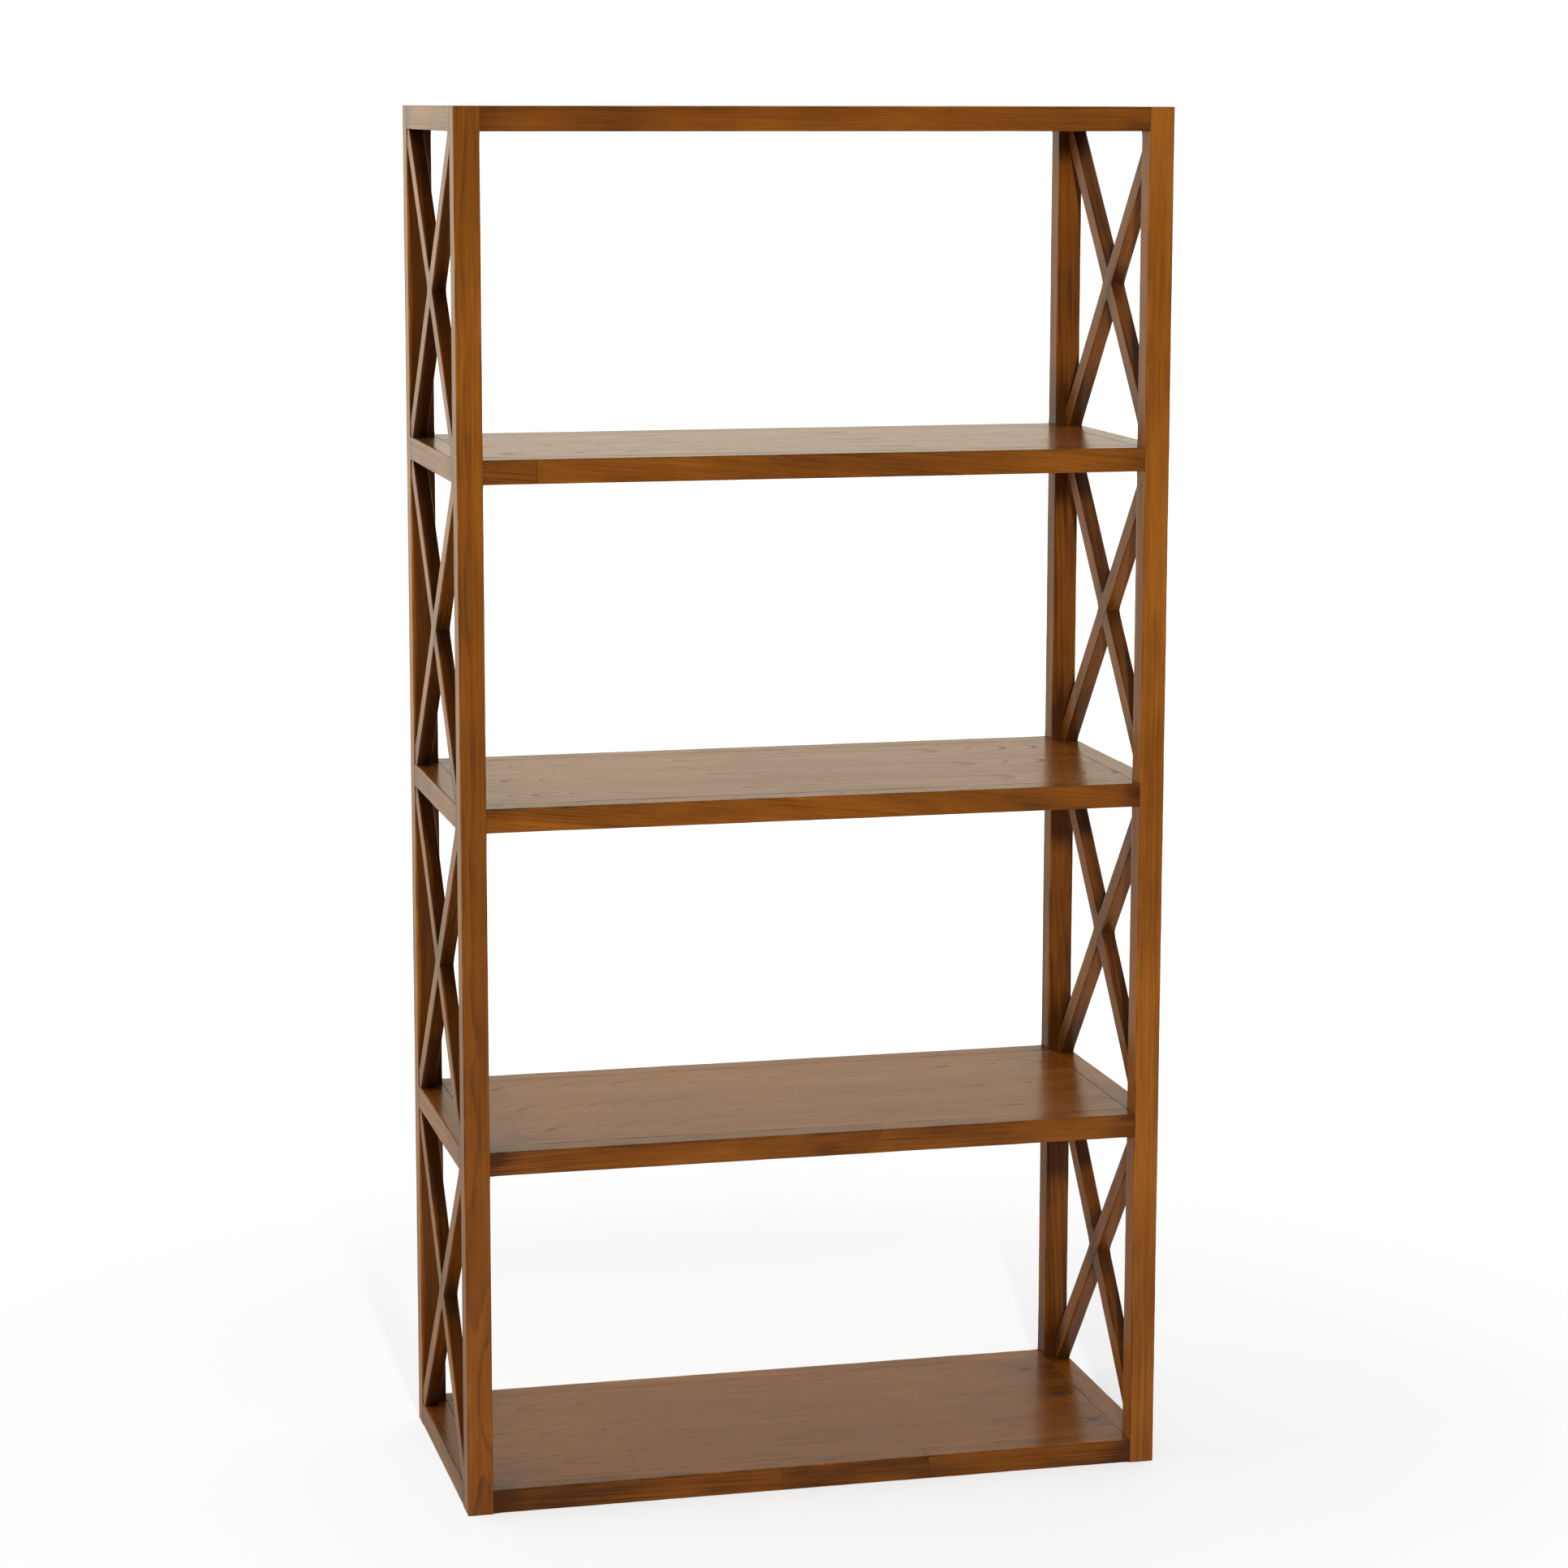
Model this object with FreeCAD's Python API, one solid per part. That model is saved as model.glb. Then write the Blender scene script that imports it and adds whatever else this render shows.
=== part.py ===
import FreeCAD, Part
import math
import os

Vector = FreeCAD.Vector

# Overall plan of the unit, in millimetres: X is its width, Y its depth with the front at -Y, Z is up
WIDTH = 900.0
DEPTH = 400.0

# Clear height of each bay, counted from the floor up
FIRST_BAY = 404.0
SECOND_BAY = 400.0
THIRD_BAY = 395.0
FOURTH_BAY = 390.0

# Square corner posts, and the rails that join them at every level
POST_SIZE = 32.0
RAIL_HEIGHT = 30.0
FLOOR_GAP = 1.0
EASED_EDGE = 1.5
POST_END_CHAMFER = 1.0

# Stub tenons of the rails, and their mortises in the posts
TENON_LENGTH = 15.0
TENON_THICKNESS = 9.0
TENON_SETBACK = 6.0
TENON_SHOULDER = 5.0
MORTISE_FIT = 0.15
MORTISE_END_GAP = 1.0

# Shelf panels, tongued into the rails with a fine seam that shows all round
PANEL_THICKNESS = 12.0
TONGUE_THICKNESS = 6.0
TONGUE_LENGTH = 8.0
GROOVE_FIT = 0.3
GROOVE_END_GAP = 1.0
PANEL_SEAM = 0.6
PANEL_CHAMFER = 0.8

# Crossed braces of the two sides, halved into each other at mid-bay
BRACE_WIDTH = 26.0
BRACE_THICKNESS = 18.0
BRACE_SETBACK = 1.0
BRACE_CHAMFER = 0.8
LAP_FIT = 0.1

# Stub tenons of the brace ends, which stand clear of the rails
BRACE_TENON_LENGTH = 10.0
BRACE_TENON_THICKNESS = 8.0
BRACE_TENON_HEIGHT = 12.0
BRACE_TENON_SHOULDER = 3.0

# Least cosine at which an edge or a face normal counts as lying along an axis
ALIGNED = 0.5

# Names of the repeated places, with the side of the origin on which each one lies
SIDES = {"left": -1, "right": 1}
FACES = {"front": -1, "rear": 1}
LEANS = {"rising": -1, "falling": 1}
BAY_ENDS = {"low": -1, "high": 1}
LEVELS = ("bottom_shelf", "lower_shelf", "middle_shelf", "upper_shelf", "top")
BAYS = {"first_bay": FIRST_BAY, "second_bay": SECOND_BAY, "third_bay": THIRD_BAY, "fourth_bay": FOURTH_BAY}

# Distances that follow from the sizes above
INNER_X = WIDTH / 2 - POST_SIZE
INNER_Y = DEPTH / 2 - POST_SIZE
BRACE_X = WIDTH / 2 - BRACE_SETBACK - BRACE_THICKNESS / 2


def rail_heights():
    """Height of the underside of the rails at each level, from the floor up."""
    heights = [FLOOR_GAP]
    for clear in BAYS.values():
        heights.append(heights[-1] + RAIL_HEIGHT + clear)
    return heights


RAIL_BASES = rail_heights()
HEIGHT = RAIL_BASES[-1] + RAIL_HEIGHT


def span_box(x_span, y_span, z_span):
    """Box between two values on each axis, given in either order."""
    spans = (x_span, y_span, z_span)
    corner = Vector(*(min(span) for span in spans))
    sizes = [abs(span[1] - span[0]) for span in spans]
    return Part.makeBox(*sizes, corner)


def rail_box(axis, along, across, up):
    """Box given by its spans along a rail, across the rail and upward."""
    if axis == "x":
        return span_box(along, across, up)
    return span_box(across, along, up)


def long_edges(bar, direction):
    """The four long edges of a straight bar."""
    return [edge for edge in bar.Edges if abs(edge.tangentAt(0).dot(direction)) > ALIGNED]


def tenon(axis, end, side, base, fit=0.0, end_gap=0.0):
    """Stub tenon at one end of a rail; a fit and an end gap make it the mortise instead."""
    inner, outer = (INNER_X, DEPTH / 2) if axis == "x" else (INNER_Y, WIDTH / 2)
    along = (end * inner, end * (inner + TENON_LENGTH + end_gap))
    face = outer - TENON_SETBACK
    across = (side * (face + fit), side * (face - TENON_THICKNESS - fit))
    up = (base + TENON_SHOULDER - fit, base + RAIL_HEIGHT - TENON_SHOULDER + fit)
    return rail_box(axis, along, across, up)


def bay_limits(number):
    """Lowest and highest clear height of a bay."""
    return RAIL_BASES[number] + RAIL_HEIGHT, RAIL_BASES[number + 1]


def brace_tenon(x_side, y_side, number, end, fit=0.0, end_gap=0.0):
    """Stub tenon at the low or high end of a brace; a fit and an end gap make it the mortise instead."""
    low, high = bay_limits(number)
    corner = high if end > 0 else low
    near = corner - end * (BRACE_TENON_SHOULDER - fit)
    far = corner - end * (BRACE_TENON_SHOULDER + BRACE_TENON_HEIGHT + fit)
    middle = x_side * BRACE_X
    half = BRACE_TENON_THICKNESS / 2 + fit
    along = (y_side * INNER_Y, y_side * (INNER_Y + BRACE_TENON_LENGTH + end_gap))
    return span_box((middle - half, middle + half), along, (near, far))


def make_post(x_side, y_side):
    """Full-height corner post with eased edges and a mortise for each rail and each brace."""
    x_span = (x_side * INNER_X, x_side * WIDTH / 2)
    y_span = (y_side * INNER_Y, y_side * DEPTH / 2)
    up = Vector(0, 0, 1)
    bar = span_box(x_span, y_span, (0, HEIGHT))
    post = bar.makeFillet(EASED_EDGE, long_edges(bar, up))
    ends = [face for face in post.Faces if abs(face.normalAt(0, 0).dot(up)) > ALIGNED]
    end_edges = [edge for face in ends for edge in face.Edges]
    post = post.makeChamfer(POST_END_CHAMFER, end_edges)
    mortises = []
    for base in RAIL_BASES:
        mortises.append(tenon("x", x_side, y_side, base, MORTISE_FIT, MORTISE_END_GAP))
        mortises.append(tenon("y", y_side, x_side, base, MORTISE_FIT, MORTISE_END_GAP))
    for number in range(len(BAYS)):
        for end in BAY_ENDS.values():
            mortises.append(brace_tenon(x_side, y_side, number, end, MORTISE_FIT, MORTISE_END_GAP))
    return post.cut(mortises)


def make_rail(axis, side, base):
    """Rail between two posts, with a tenon at each end and a groove for the panel."""
    inner, outer = (INNER_X, DEPTH / 2) if axis == "x" else (INNER_Y, WIDTH / 2)
    direction = Vector(1, 0, 0) if axis == "x" else Vector(0, 1, 0)
    along = (-inner, inner)
    face = outer - POST_SIZE
    bar = rail_box(axis, along, (side * face, side * outer), (base, base + RAIL_HEIGHT))
    rail = bar.makeFillet(EASED_EDGE, long_edges(bar, direction))
    rail = rail.fuse([tenon(axis, end, side, base) for end in (-1, 1)])
    seat = base + RAIL_HEIGHT - PANEL_THICKNESS
    groove_across = (side * face, side * (face + TONGUE_LENGTH + GROOVE_END_GAP))
    groove_up = (seat, seat + TONGUE_THICKNESS + GROOVE_FIT)
    return rail.cut(rail_box(axis, along, groove_across, groove_up))


def make_panel(base):
    """Shelf panel, flush with its rails, with a tongue on each edge and notched corners."""
    top = base + RAIL_HEIGHT
    seat = top - PANEL_THICKNESS
    edge_x = INNER_X - PANEL_SEAM
    edge_y = INNER_Y - PANEL_SEAM
    board = span_box((-edge_x, edge_x), (-edge_y, edge_y), (seat, top))
    upper_face = [face for face in board.Faces if face.normalAt(0, 0).z > ALIGNED][0]
    board = board.makeChamfer(PANEL_CHAMFER, upper_face.Edges)
    tip_x = INNER_X + TONGUE_LENGTH
    tip_y = INNER_Y + TONGUE_LENGTH
    tongue_up = (seat, seat + TONGUE_THICKNESS)
    long_tongue = span_box((-edge_x, edge_x), (-tip_y, tip_y), tongue_up)
    end_tongue = span_box((-tip_x, tip_x), (-edge_y, edge_y), tongue_up)
    return board.fuse([long_tongue, end_tongue]).removeSplitter()


def brace_blank(number, lean, x_span, width, chamfer=0.0):
    """Bar laid along one diagonal of a bay, longer than the diagonal and square at its ends."""
    low, high = bay_limits(number)
    half_rise = (high - low) / 2
    reach = math.hypot(INNER_Y, half_rise) + width
    bar = span_box(x_span, (-reach, reach), (-width / 2, width / 2))
    if chamfer:
        bar = bar.makeChamfer(chamfer, long_edges(bar, Vector(0, 1, 0)))
    slope = math.degrees(math.atan2(half_rise, INNER_Y))
    bar.rotate(Vector(0, 0, 0), Vector(1, 0, 0), lean * slope)
    bar.translate(Vector(0, 0, low + half_rise))
    return bar


def make_brace(x_side, number, lean):
    """One bar of a cross: pointed and tenoned into two corners of its bay, halved over its partner."""
    middle = x_side * BRACE_X
    half = BRACE_THICKNESS / 2
    x_span = (middle - half, middle + half)
    blank = brace_blank(number, lean, x_span, BRACE_WIDTH, BRACE_CHAMFER)
    brace = blank.common(span_box(x_span, (-INNER_Y, INNER_Y), bay_limits(number)))
    tenons = [brace_tenon(x_side, y_side, number, lean * y_side) for y_side in FACES.values()]
    brace = brace.fuse(tenons)
    lap_span = (middle, middle - lean * half)
    return brace.cut(brace_blank(number, -lean, lap_span, BRACE_WIDTH + 2 * LAP_FIT))


def make_parts():
    """Every piece of the unit by name."""
    parts = {}
    for side, x_side in SIDES.items():
        for face, y_side in FACES.items():
            parts[f"{face}_{side}_post"] = make_post(x_side, y_side)
    for level, base in zip(LEVELS, RAIL_BASES):
        for face, y_side in FACES.items():
            parts[f"{level}_{face}_rail"] = make_rail("x", y_side, base)
        for side, x_side in SIDES.items():
            parts[f"{level}_{side}_rail"] = make_rail("y", x_side, base)
        parts[f"{level}_panel"] = make_panel(base)
    for side, x_side in SIDES.items():
        for number, bay in enumerate(BAYS):
            for name, lean in LEANS.items():
                parts[f"{side}_{bay}_{name}_brace"] = make_brace(x_side, number, lean)
    return parts


os.makedirs("parts", exist_ok=True)
for node, shape in make_parts().items():
    shape.exportStep(f"parts/{node}.step")
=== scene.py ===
import math
from typing import NamedTuple

import bpy
import numpy as np
from mathutils import Matrix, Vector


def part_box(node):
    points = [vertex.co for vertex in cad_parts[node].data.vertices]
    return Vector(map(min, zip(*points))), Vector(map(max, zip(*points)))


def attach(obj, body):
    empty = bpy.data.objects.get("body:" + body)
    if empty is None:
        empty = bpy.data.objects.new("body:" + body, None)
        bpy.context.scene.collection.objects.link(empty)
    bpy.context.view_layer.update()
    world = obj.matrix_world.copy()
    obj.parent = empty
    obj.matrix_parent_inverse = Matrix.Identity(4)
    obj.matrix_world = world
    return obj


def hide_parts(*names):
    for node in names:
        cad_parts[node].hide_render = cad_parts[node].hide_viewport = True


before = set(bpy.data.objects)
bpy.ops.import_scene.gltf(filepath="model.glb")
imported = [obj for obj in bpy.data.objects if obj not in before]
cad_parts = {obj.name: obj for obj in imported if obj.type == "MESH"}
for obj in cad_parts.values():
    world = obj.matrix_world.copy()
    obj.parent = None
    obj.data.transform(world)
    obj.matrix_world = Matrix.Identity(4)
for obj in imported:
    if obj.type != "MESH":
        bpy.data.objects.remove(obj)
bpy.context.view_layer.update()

bl_info = {
    "name": "Braced Shelving Unit",
    "version": (1, 0, 0),
    "blender": (4, 5, 0),
    "location": "View3D > Sidebar > Shelving Unit",
    "description": "Dresses the packed shelving unit in stained timber and lights it in a small studio",
    "category": "Object",
}


def span(node):
    """Lowest and highest corner of a CAD node, in metres, as the two rows of an array."""
    return np.array([tuple(corner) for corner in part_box(node)])


def nodes_ending(word):
    """CAD nodes whose names end in a word, in order of name."""
    names = sorted(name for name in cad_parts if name.endswith(word))
    if not names:
        raise RuntimeError(f"the frame has no node whose name ends in {word}")
    return names


# Places taken from the CAD boxes of the frame: the clear opening between the posts and the height of each
# level
OPEN_X = span("front_right_post")[0, 0]
OPEN_Y = span("rear_right_post")[0, 1]
LEVELS = np.array(sorted(tuple(span(node)[:, 2]) for node in nodes_ending("_left_rail")))

# Directions, turns, and the four corners of a section in the order in which its outline meets them
ALONG_X = np.array((1.0, 0.0, 0.0))
ALONG_Y = np.array((0.0, 1.0, 0.0))
UP = np.array((0.0, 0.0, 1.0))
QUARTER_TURN = math.pi / 2
FULL_TURN = 2 * math.pi
CORNER_SIGNS = np.array(((1, 1), (-1, 1), (-1, -1), (1, -1)))

# How finely a surface is divided: steps round an edge, points on a side, and distances along a bar in metres
ARC_STEPS = 4
SIDE_SHARES = np.array((0.06, 0.28, 0.5, 0.72, 0.94))
STEP = 0.006
FINE_STEPS = (0.0002, 0.0006, 0.0012, 0.0025, 0.005, 0.009)
SHORTEST_STEP = 0.00008

# Digits to which the lines of a panel's grid are rounded, and the angle from which an edge is sharp
GRID_DIGITS = 5
SHARP_ANGLE = math.radians(40)

# Hand work: length in metres and turns of each wave in the faces of a bar, lengths of waves in its edges
SANDED_WAVES = ((0.31, 1), (0.17, -2), (0.093, 3))
WEAR_WAVES = (0.23, 0.087, 0.041)
SEED = 41

# Least rubbing on an eased edge, as a share of the most
EDGE_LEAST = 0.35

# Butt seams in rails that are joined from shorter lengths: place along the rail and slant of the cut
SEAMS = {
    "bottom_shelf_front_rail": ((-0.047, 0.12), (0.1475, -0.08)),
    "lower_shelf_front_rail": ((0.0735, 0.75),),
    "upper_shelf_front_rail": ((-0.352, 0.0),),
}
SEAM_BLEND = 0.05
SEAM_DEPTH = 0.00025
SEAM_HALF_WIDTH = 0.0003

# Dark line where pieces meet: its reach in metres, its share on a rail, and pieces in which it hardly shows
SEAM_LINE = 0.0008
SEAM_SHARE = 0.6
SEAM_SHOWN = {"bottom_shelf_panel": 0.2, "bottom_shelf_front_rail": 0.2}

# How far a post's edge has run out where that line starts
CRISP_SHARE = 0.98

# Stain gathered near joints, which just below each level is partly painted shade under it: its reach in
# metres, and its share where it is less
STAIN_REACH = 0.05
FOOT_REACH = 0.11
# Darkening just below each level: partly stain, partly painted shade under the level
HEAD_STAIN_AND_SHADE = 0.3
OUTER_STAIN = 0.1
FRONT_STAIN = 0.4
PANEL_STAIN = {"top_panel": 0.35}

# Cosine below which a face of a post looks inward
INWARD = -0.5

# Tone, where more is darker: spread between pieces, faces of the braces with painted light and shade, and
# pieces whose tone shows plainly, some of it painted shade or light
TONE_SPREAD = 0.05
# Brace broad sides lighter as painted light; upper edges darker as painted shade
BRACE_SIDE_PAINTED_LIGHT = -0.06
BRACE_EDGE_TONE = 0.07
BRACE_TOP_PAINTED_SHADE = 0.28
# Painted shadow of the front left post on the left braces: deeper towards the back, and more on the rising
# ones
LEFT_REAR_PAINTED_SHADOW = 0.3
LEFT_RISING_PAINTED_SHADOW = 0.2
TONES_AND_PAINTED_SHADING = {
    "front_left_post": 0.0,
    "front_right_post": -0.18,
    "rear_left_post": -0.15,
    # Darker partly from its own stain and partly as painted shade behind the shelves and the front post
    "rear_right_post": 0.15,
    "top_front_rail": 0.12,
    "upper_shelf_front_rail": 0.1,
    "middle_shelf_front_rail": 0.06,
    "lower_shelf_front_rail": 0.1,
    # Darker as painted shade low by the floor
    "bottom_shelf_front_rail": 0.22,
    # Panels lighter partly as their own wood and partly as painted light on the shelf tops, least on the
    # bottom shelf
    "top_panel": -0.28,
    "upper_shelf_panel": -0.36,
    "middle_shelf_panel": -0.36,
    "lower_shelf_panel": -0.26,
    "bottom_shelf_panel": -0.06,
}


class Figure(NamedTuple):
    """How a piece lay in its log.

    It is turned about its length and stands off the pith and aside of it, in metres. Its grain slopes and
    bows along it, swells out at its crest, and starts at a shift along the log."""

    turn: float = 0.0
    pith: float = 0.0
    slope: float = 0.0
    bow: float = 0.0
    crest: float = 0.0
    aside: float = 0.0
    swell: float = 0.0
    shift: float = 0.0


# Figures that show plainly, the reach of a swell along a piece and across it in metres, and how plain it is
FIGURES = {
    "front_left_post": Figure(pith=0.1695, crest=0.175, aside=0.016, swell=0.0065),
    "front_right_post": Figure(turn=1.5, pith=0.07, slope=0.003, bow=0.002, crest=0.8),
    "top_front_rail": Figure(turn=0.3, pith=0.08, slope=0.01),
    "upper_shelf_front_rail": Figure(turn=0.2, pith=0.06, slope=0.085, bow=0.02),
    "middle_shelf_front_rail": Figure(turn=-0.15, pith=0.05, slope=0.11),
    "lower_shelf_front_rail": Figure(turn=0.1, pith=0.07, slope=-0.03, bow=0.03, crest=0.1),
    "bottom_shelf_front_rail": Figure(turn=0.2, pith=0.06, slope=0.02),
}
SWELL_REACH = 0.145
SWELL_WIDTH = 0.019
FIGURE_LEAST = 0.6

# Figures drawn at random: lowest and highest values, or the spread about 0, for bars and then for panels
SHIFTS = (0.0, 9.0)
BAR_PITHS = (0.04, 0.12)
BAR_SLOPE_SPREAD = 0.02
BAR_BOW_SPREAD = 0.02
BAR_CRESTS = (-0.3, 0.3)
PANEL_PITHS = (0.035, 0.05)
PANEL_BOWS = (0.1, 0.16)
PANEL_CRESTS = (-0.15, 0.2)
LEAF_SLIPS = (0.01, 0.02)


class WoodLook(NamedTuple):
    """How the wood looks in one kind of piece.

    ring is the spacing of the rings in metres, line_start the share of a ring at which its dark line starts.
    lines, streaks, blotches and gathered are strengths, dull is the roughness of lines and pores, seam_least
    the faintest joint line. Smudges follow the grain, or the place on a piece made of several boards."""

    ring: float
    line_start: float
    lines: float
    streaks: float
    blotches: float
    gathered: float
    dull: float
    seam_least: float
    smudged_by_place: bool = False


LOOKS = {
    "post": WoodLook(ring=0.0048, line_start=0.5, lines=0.27, streaks=0.55, blotches=0.8,
                     gathered=0.5, dull=0.08, seam_least=0.35),
    "rail": WoodLook(ring=0.005, line_start=0.6, lines=0.2, streaks=0.45, blotches=0.95,
                     gathered=0.4, dull=0.04, seam_least=0.3),
    "panel": WoodLook(ring=0.0046, line_start=0.74, lines=0.26, streaks=0.45, blotches=0.4,
                      gathered=0.36, dull=0.13, seam_least=0.0, smudged_by_place=True),
    "brace": WoodLook(ring=0.005, line_start=0.5, lines=0.15, streaks=0.5, blotches=0.95,
                      gathered=0.45, dull=0.08, seam_least=0.35),
}

# Noise in the wood: how close it is along the grain and across it, per metre, and its detail
NOISES = {
    "slow_wander": (2.2, 14.0, 1.0),
    "quick_wander": (9.0, 40.0, 1.0),
    "shown": (2.6, 30.0, 2.0),
    "fibres": (13.0, 900.0, 2.0),
    "streaks": (4.5, 240.0, 3.0),
    "blotches": (7.0, 24.0, 3.0),
    "drift": (1.6, 6.0, 1.0),
    "pores": (38.0, 1400.0, 1.0),
    "rubbing": (22.0, 60.0, 2.0),
    "smudges": (9.0, 26.0, 2.0),
    "joint_dirt": (4.5, 9.0, 2.0),
}

# Smooth steps in the wood: the values between which they run, and what they give there
RAMPS = {
    "line_end": (0.94, 1.0, 1.0, 0.0),
    "shown": (0.36, 0.66, 0.12, 1.0),
    "pores": (0.62, 0.74, 0.0, 1.0),
    "rubbing": (0.38, 0.68, 0.2, -0.14),
    "smudges": (0.36, 0.62, 0.3, 1.0),
    "to_dark": (0.45, 1.0, 0.0, 1.0),
    "to_light": (0.0, 0.55, 1.0, 0.0),
}
LINE_FULL = 0.93
DIRT_RAMP = (0.42, 0.62)
DIRT_MOST = 0.85

# Wood: wander of the rings in metres, uneven years, strengths in the shade, and dirt in the pores
SLOW_WANDER = 0.011
QUICK_WANDER = 0.0032
UNEVEN_SCALE = 0.45
UNEVEN_YEARS = 2.4
FIBRE_STRENGTH = 0.4
DRIFT_STRENGTH = 0.28
MEAN_SHADE = 0.44
PORE_DIRT = 0.32

# Lacquer: roughness and what streaks and joints add to it, height of the relief, and gloss
ROUGHNESS = 0.17
STREAK_ROUGHNESS = 0.1
JOINT_ROUGHNESS = 0.25
FIBRE_RELIEF = 0.6
PORE_RELIEF = -0.8
LINE_RELIEF = -0.4
RELIEF_STRENGTH = 0.25
RELIEF_HEIGHT = 0.0002
LACQUER_IOR = 1.5
LACQUER_SPECULAR = 0.5

# Floor: half its width, where it fades into the white background, in metres, and how white it starts
FLOOR_HALF = 1.9
FLOOR_FADE = (0.6, 1.5)
FLOOR_WHITE = 0.7
WHITE = (1.0, 1.0, 1.0, 1.0)

# Room: smooth steps by how far a direction climbs, goes right or goes back, and light from the front
CLIMB_FADE = (0.0, 0.35, 1.2, 0.42)
LEFT_FADE = (-0.4, -0.05, 0.32, 1.0)
GLOSS_FADE = (-0.45, 0.1)
EVEN_FADE = (-0.25, 0.5)
FRONT_SHARE = 0.14

# Lamps and camera: places and sizes in metres, and the sensor in millimetres
LAMP_AIM = (0.0, 0.0, 0.9)
KEY_PLACE = (-0.53, -4.2, 2.1)
KEY_SIZE = (0.18, 0.28)
FILL_PLACE = (-6.0, 0.3, 2.2)
FILL_SIZE = (3.8, 3.8)
SENSOR_WIDTH = 36.0


class TimberSizes(bpy.types.PropertyGroup):
    """Sizes of the wood's finish that a maker could choose"""

    eased_edge: bpy.props.FloatProperty(
        name="Eased edge", description="Radius of the rounded long edges",
        default=0.0017, min=0.0002, max=0.005, unit="LENGTH", precision=5)
    crisp_edge: bpy.props.FloatProperty(
        name="Crisp edge", description="Radius left on an edge where two pieces meet",
        default=0.0004, min=0.0001, max=0.002, unit="LENGTH", precision=5)
    run_out: bpy.props.FloatProperty(
        name="Run-out", description="Distance over which an eased edge fades out before a joint",
        default=0.011, min=0.001, max=0.05, unit="LENGTH", precision=4)
    end_round: bpy.props.FloatProperty(
        name="Post end", description="Rounding of the top and the foot of a post",
        default=0.0011, min=0.0001, max=0.005, unit="LENGTH", precision=5)
    sanding: bpy.props.FloatProperty(
        name="Sanding", description="Height of the slow waves that sanding leaves in a face",
        default=0.00009, min=0.0, max=0.001, unit="LENGTH", precision=6)
    wear: bpy.props.FloatProperty(
        name="Wear", description="Share by which an eased edge swells and thins along its length",
        default=0.3, min=0.0, max=0.8, subtype="FACTOR")
    panel_seam: bpy.props.FloatProperty(
        name="Panel seam", description="Gap that shows between a shelf panel and its rails",
        default=0.0003, min=0.0, max=0.003, unit="LENGTH", precision=5)
    seam_depth: bpy.props.FloatProperty(
        name="Seam depth", description="Depth of the open part of that gap",
        default=0.0024, min=0.0005, max=0.006, unit="LENGTH", precision=5)
    brace_width: bpy.props.FloatProperty(
        name="Brace width", description="Width of a brace, across its length",
        default=0.026, min=0.01, max=0.06, unit="LENGTH", precision=4)
    leaves: bpy.props.IntProperty(
        name="Leaves", description="Boards laid side by side in a shelf panel",
        default=3, min=1, max=8)


class StainColours(bpy.types.PropertyGroup):
    """Colours of the stained and lacquered wood and of the floor"""

    light: bpy.props.FloatVectorProperty(
        name="Light wood", description="Early wood under the stain",
        default=(0.325, 0.107, 0.0095), size=3, min=0.0, max=1.0, subtype="COLOR")
    middle: bpy.props.FloatVectorProperty(
        name="Middle tone", description="Most of the wood",
        default=(0.193, 0.0565, 0.0047), size=3, min=0.0, max=1.0, subtype="COLOR")
    dark: bpy.props.FloatVectorProperty(
        name="Dark wood", description="Late wood and streaks",
        default=(0.06, 0.0178, 0.0036), size=3, min=0.0, max=1.0, subtype="COLOR")
    joint: bpy.props.FloatVectorProperty(
        name="Joint line", description="Stain gathered in joints and pores",
        default=(0.022, 0.009, 0.004), size=3, min=0.0, max=1.0, subtype="COLOR")
    floor: bpy.props.FloatVectorProperty(
        name="Floor", description="Pale studio floor",
        default=(0.93, 0.93, 0.93), size=3, min=0.0, max=1.0, subtype="COLOR")


class StudioSettings(bpy.types.PropertyGroup):
    """Camera and lamps of the studio"""

    camera_place: bpy.props.FloatVectorProperty(
        name="Camera place", description="Where the camera stands",
        default=(-1.237, -5.023, 1.750), size=3, subtype="TRANSLATION", unit="LENGTH")
    camera_yaw: bpy.props.FloatProperty(
        name="Yaw", description="Turn of the camera from straight ahead towards the right",
        default=math.radians(13.875), subtype="ANGLE")
    camera_pitch: bpy.props.FloatProperty(
        name="Pitch", description="Tilt of the camera below the horizon",
        default=math.radians(9.127), subtype="ANGLE")
    camera_roll: bpy.props.FloatProperty(
        name="Roll", description="Turn of the camera about its own axis",
        default=math.radians(0.097), subtype="ANGLE")
    lens: bpy.props.FloatProperty(
        name="Lens", description="Focal length on a sensor 36 mm wide",
        default=93.53, min=10.0, max=300.0, unit="CAMERA")
    lens_shift: bpy.props.FloatProperty(
        name="Lens shift", description="Share of the frame by which the lens is raised, below 0 lowered",
        default=-0.0202, min=-0.5, max=0.5)
    key_power: bpy.props.FloatProperty(
        name="Key lamp", description="Power of the small lamp in front",
        default=135.0, min=0.0, unit="POWER")
    fill_power: bpy.props.FloatProperty(
        name="Fill lamp", description="Power of the wide soft lamp on the left",
        default=197.0, min=0.0, unit="POWER")
    room_light: bpy.props.FloatProperty(
        name="Room light", description="Even light from the walls of the studio",
        default=1.15, min=0.0, max=2.0)
    wall_colour: bpy.props.FloatVectorProperty(
        name="Wall colour", description="Warm white that gloss picks up from the walls",
        default=(1.0, 0.92, 0.745), size=3, min=0.0, max=1.0, subtype="COLOR")
    front_gloom: bpy.props.FloatProperty(
        name="Front of the room", description="Brightness that gloss picks up from behind the camera",
        default=0.11, min=0.0, max=1.0, subtype="FACTOR")


def smooth(value):
    """Smooth step: 0 below 0, 1 above 1, and 3 v^2 - 2 v^3 between."""
    value = np.clip(value, 0.0, 1.0)
    return value * value * (3.0 - 2.0 * value)


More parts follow.
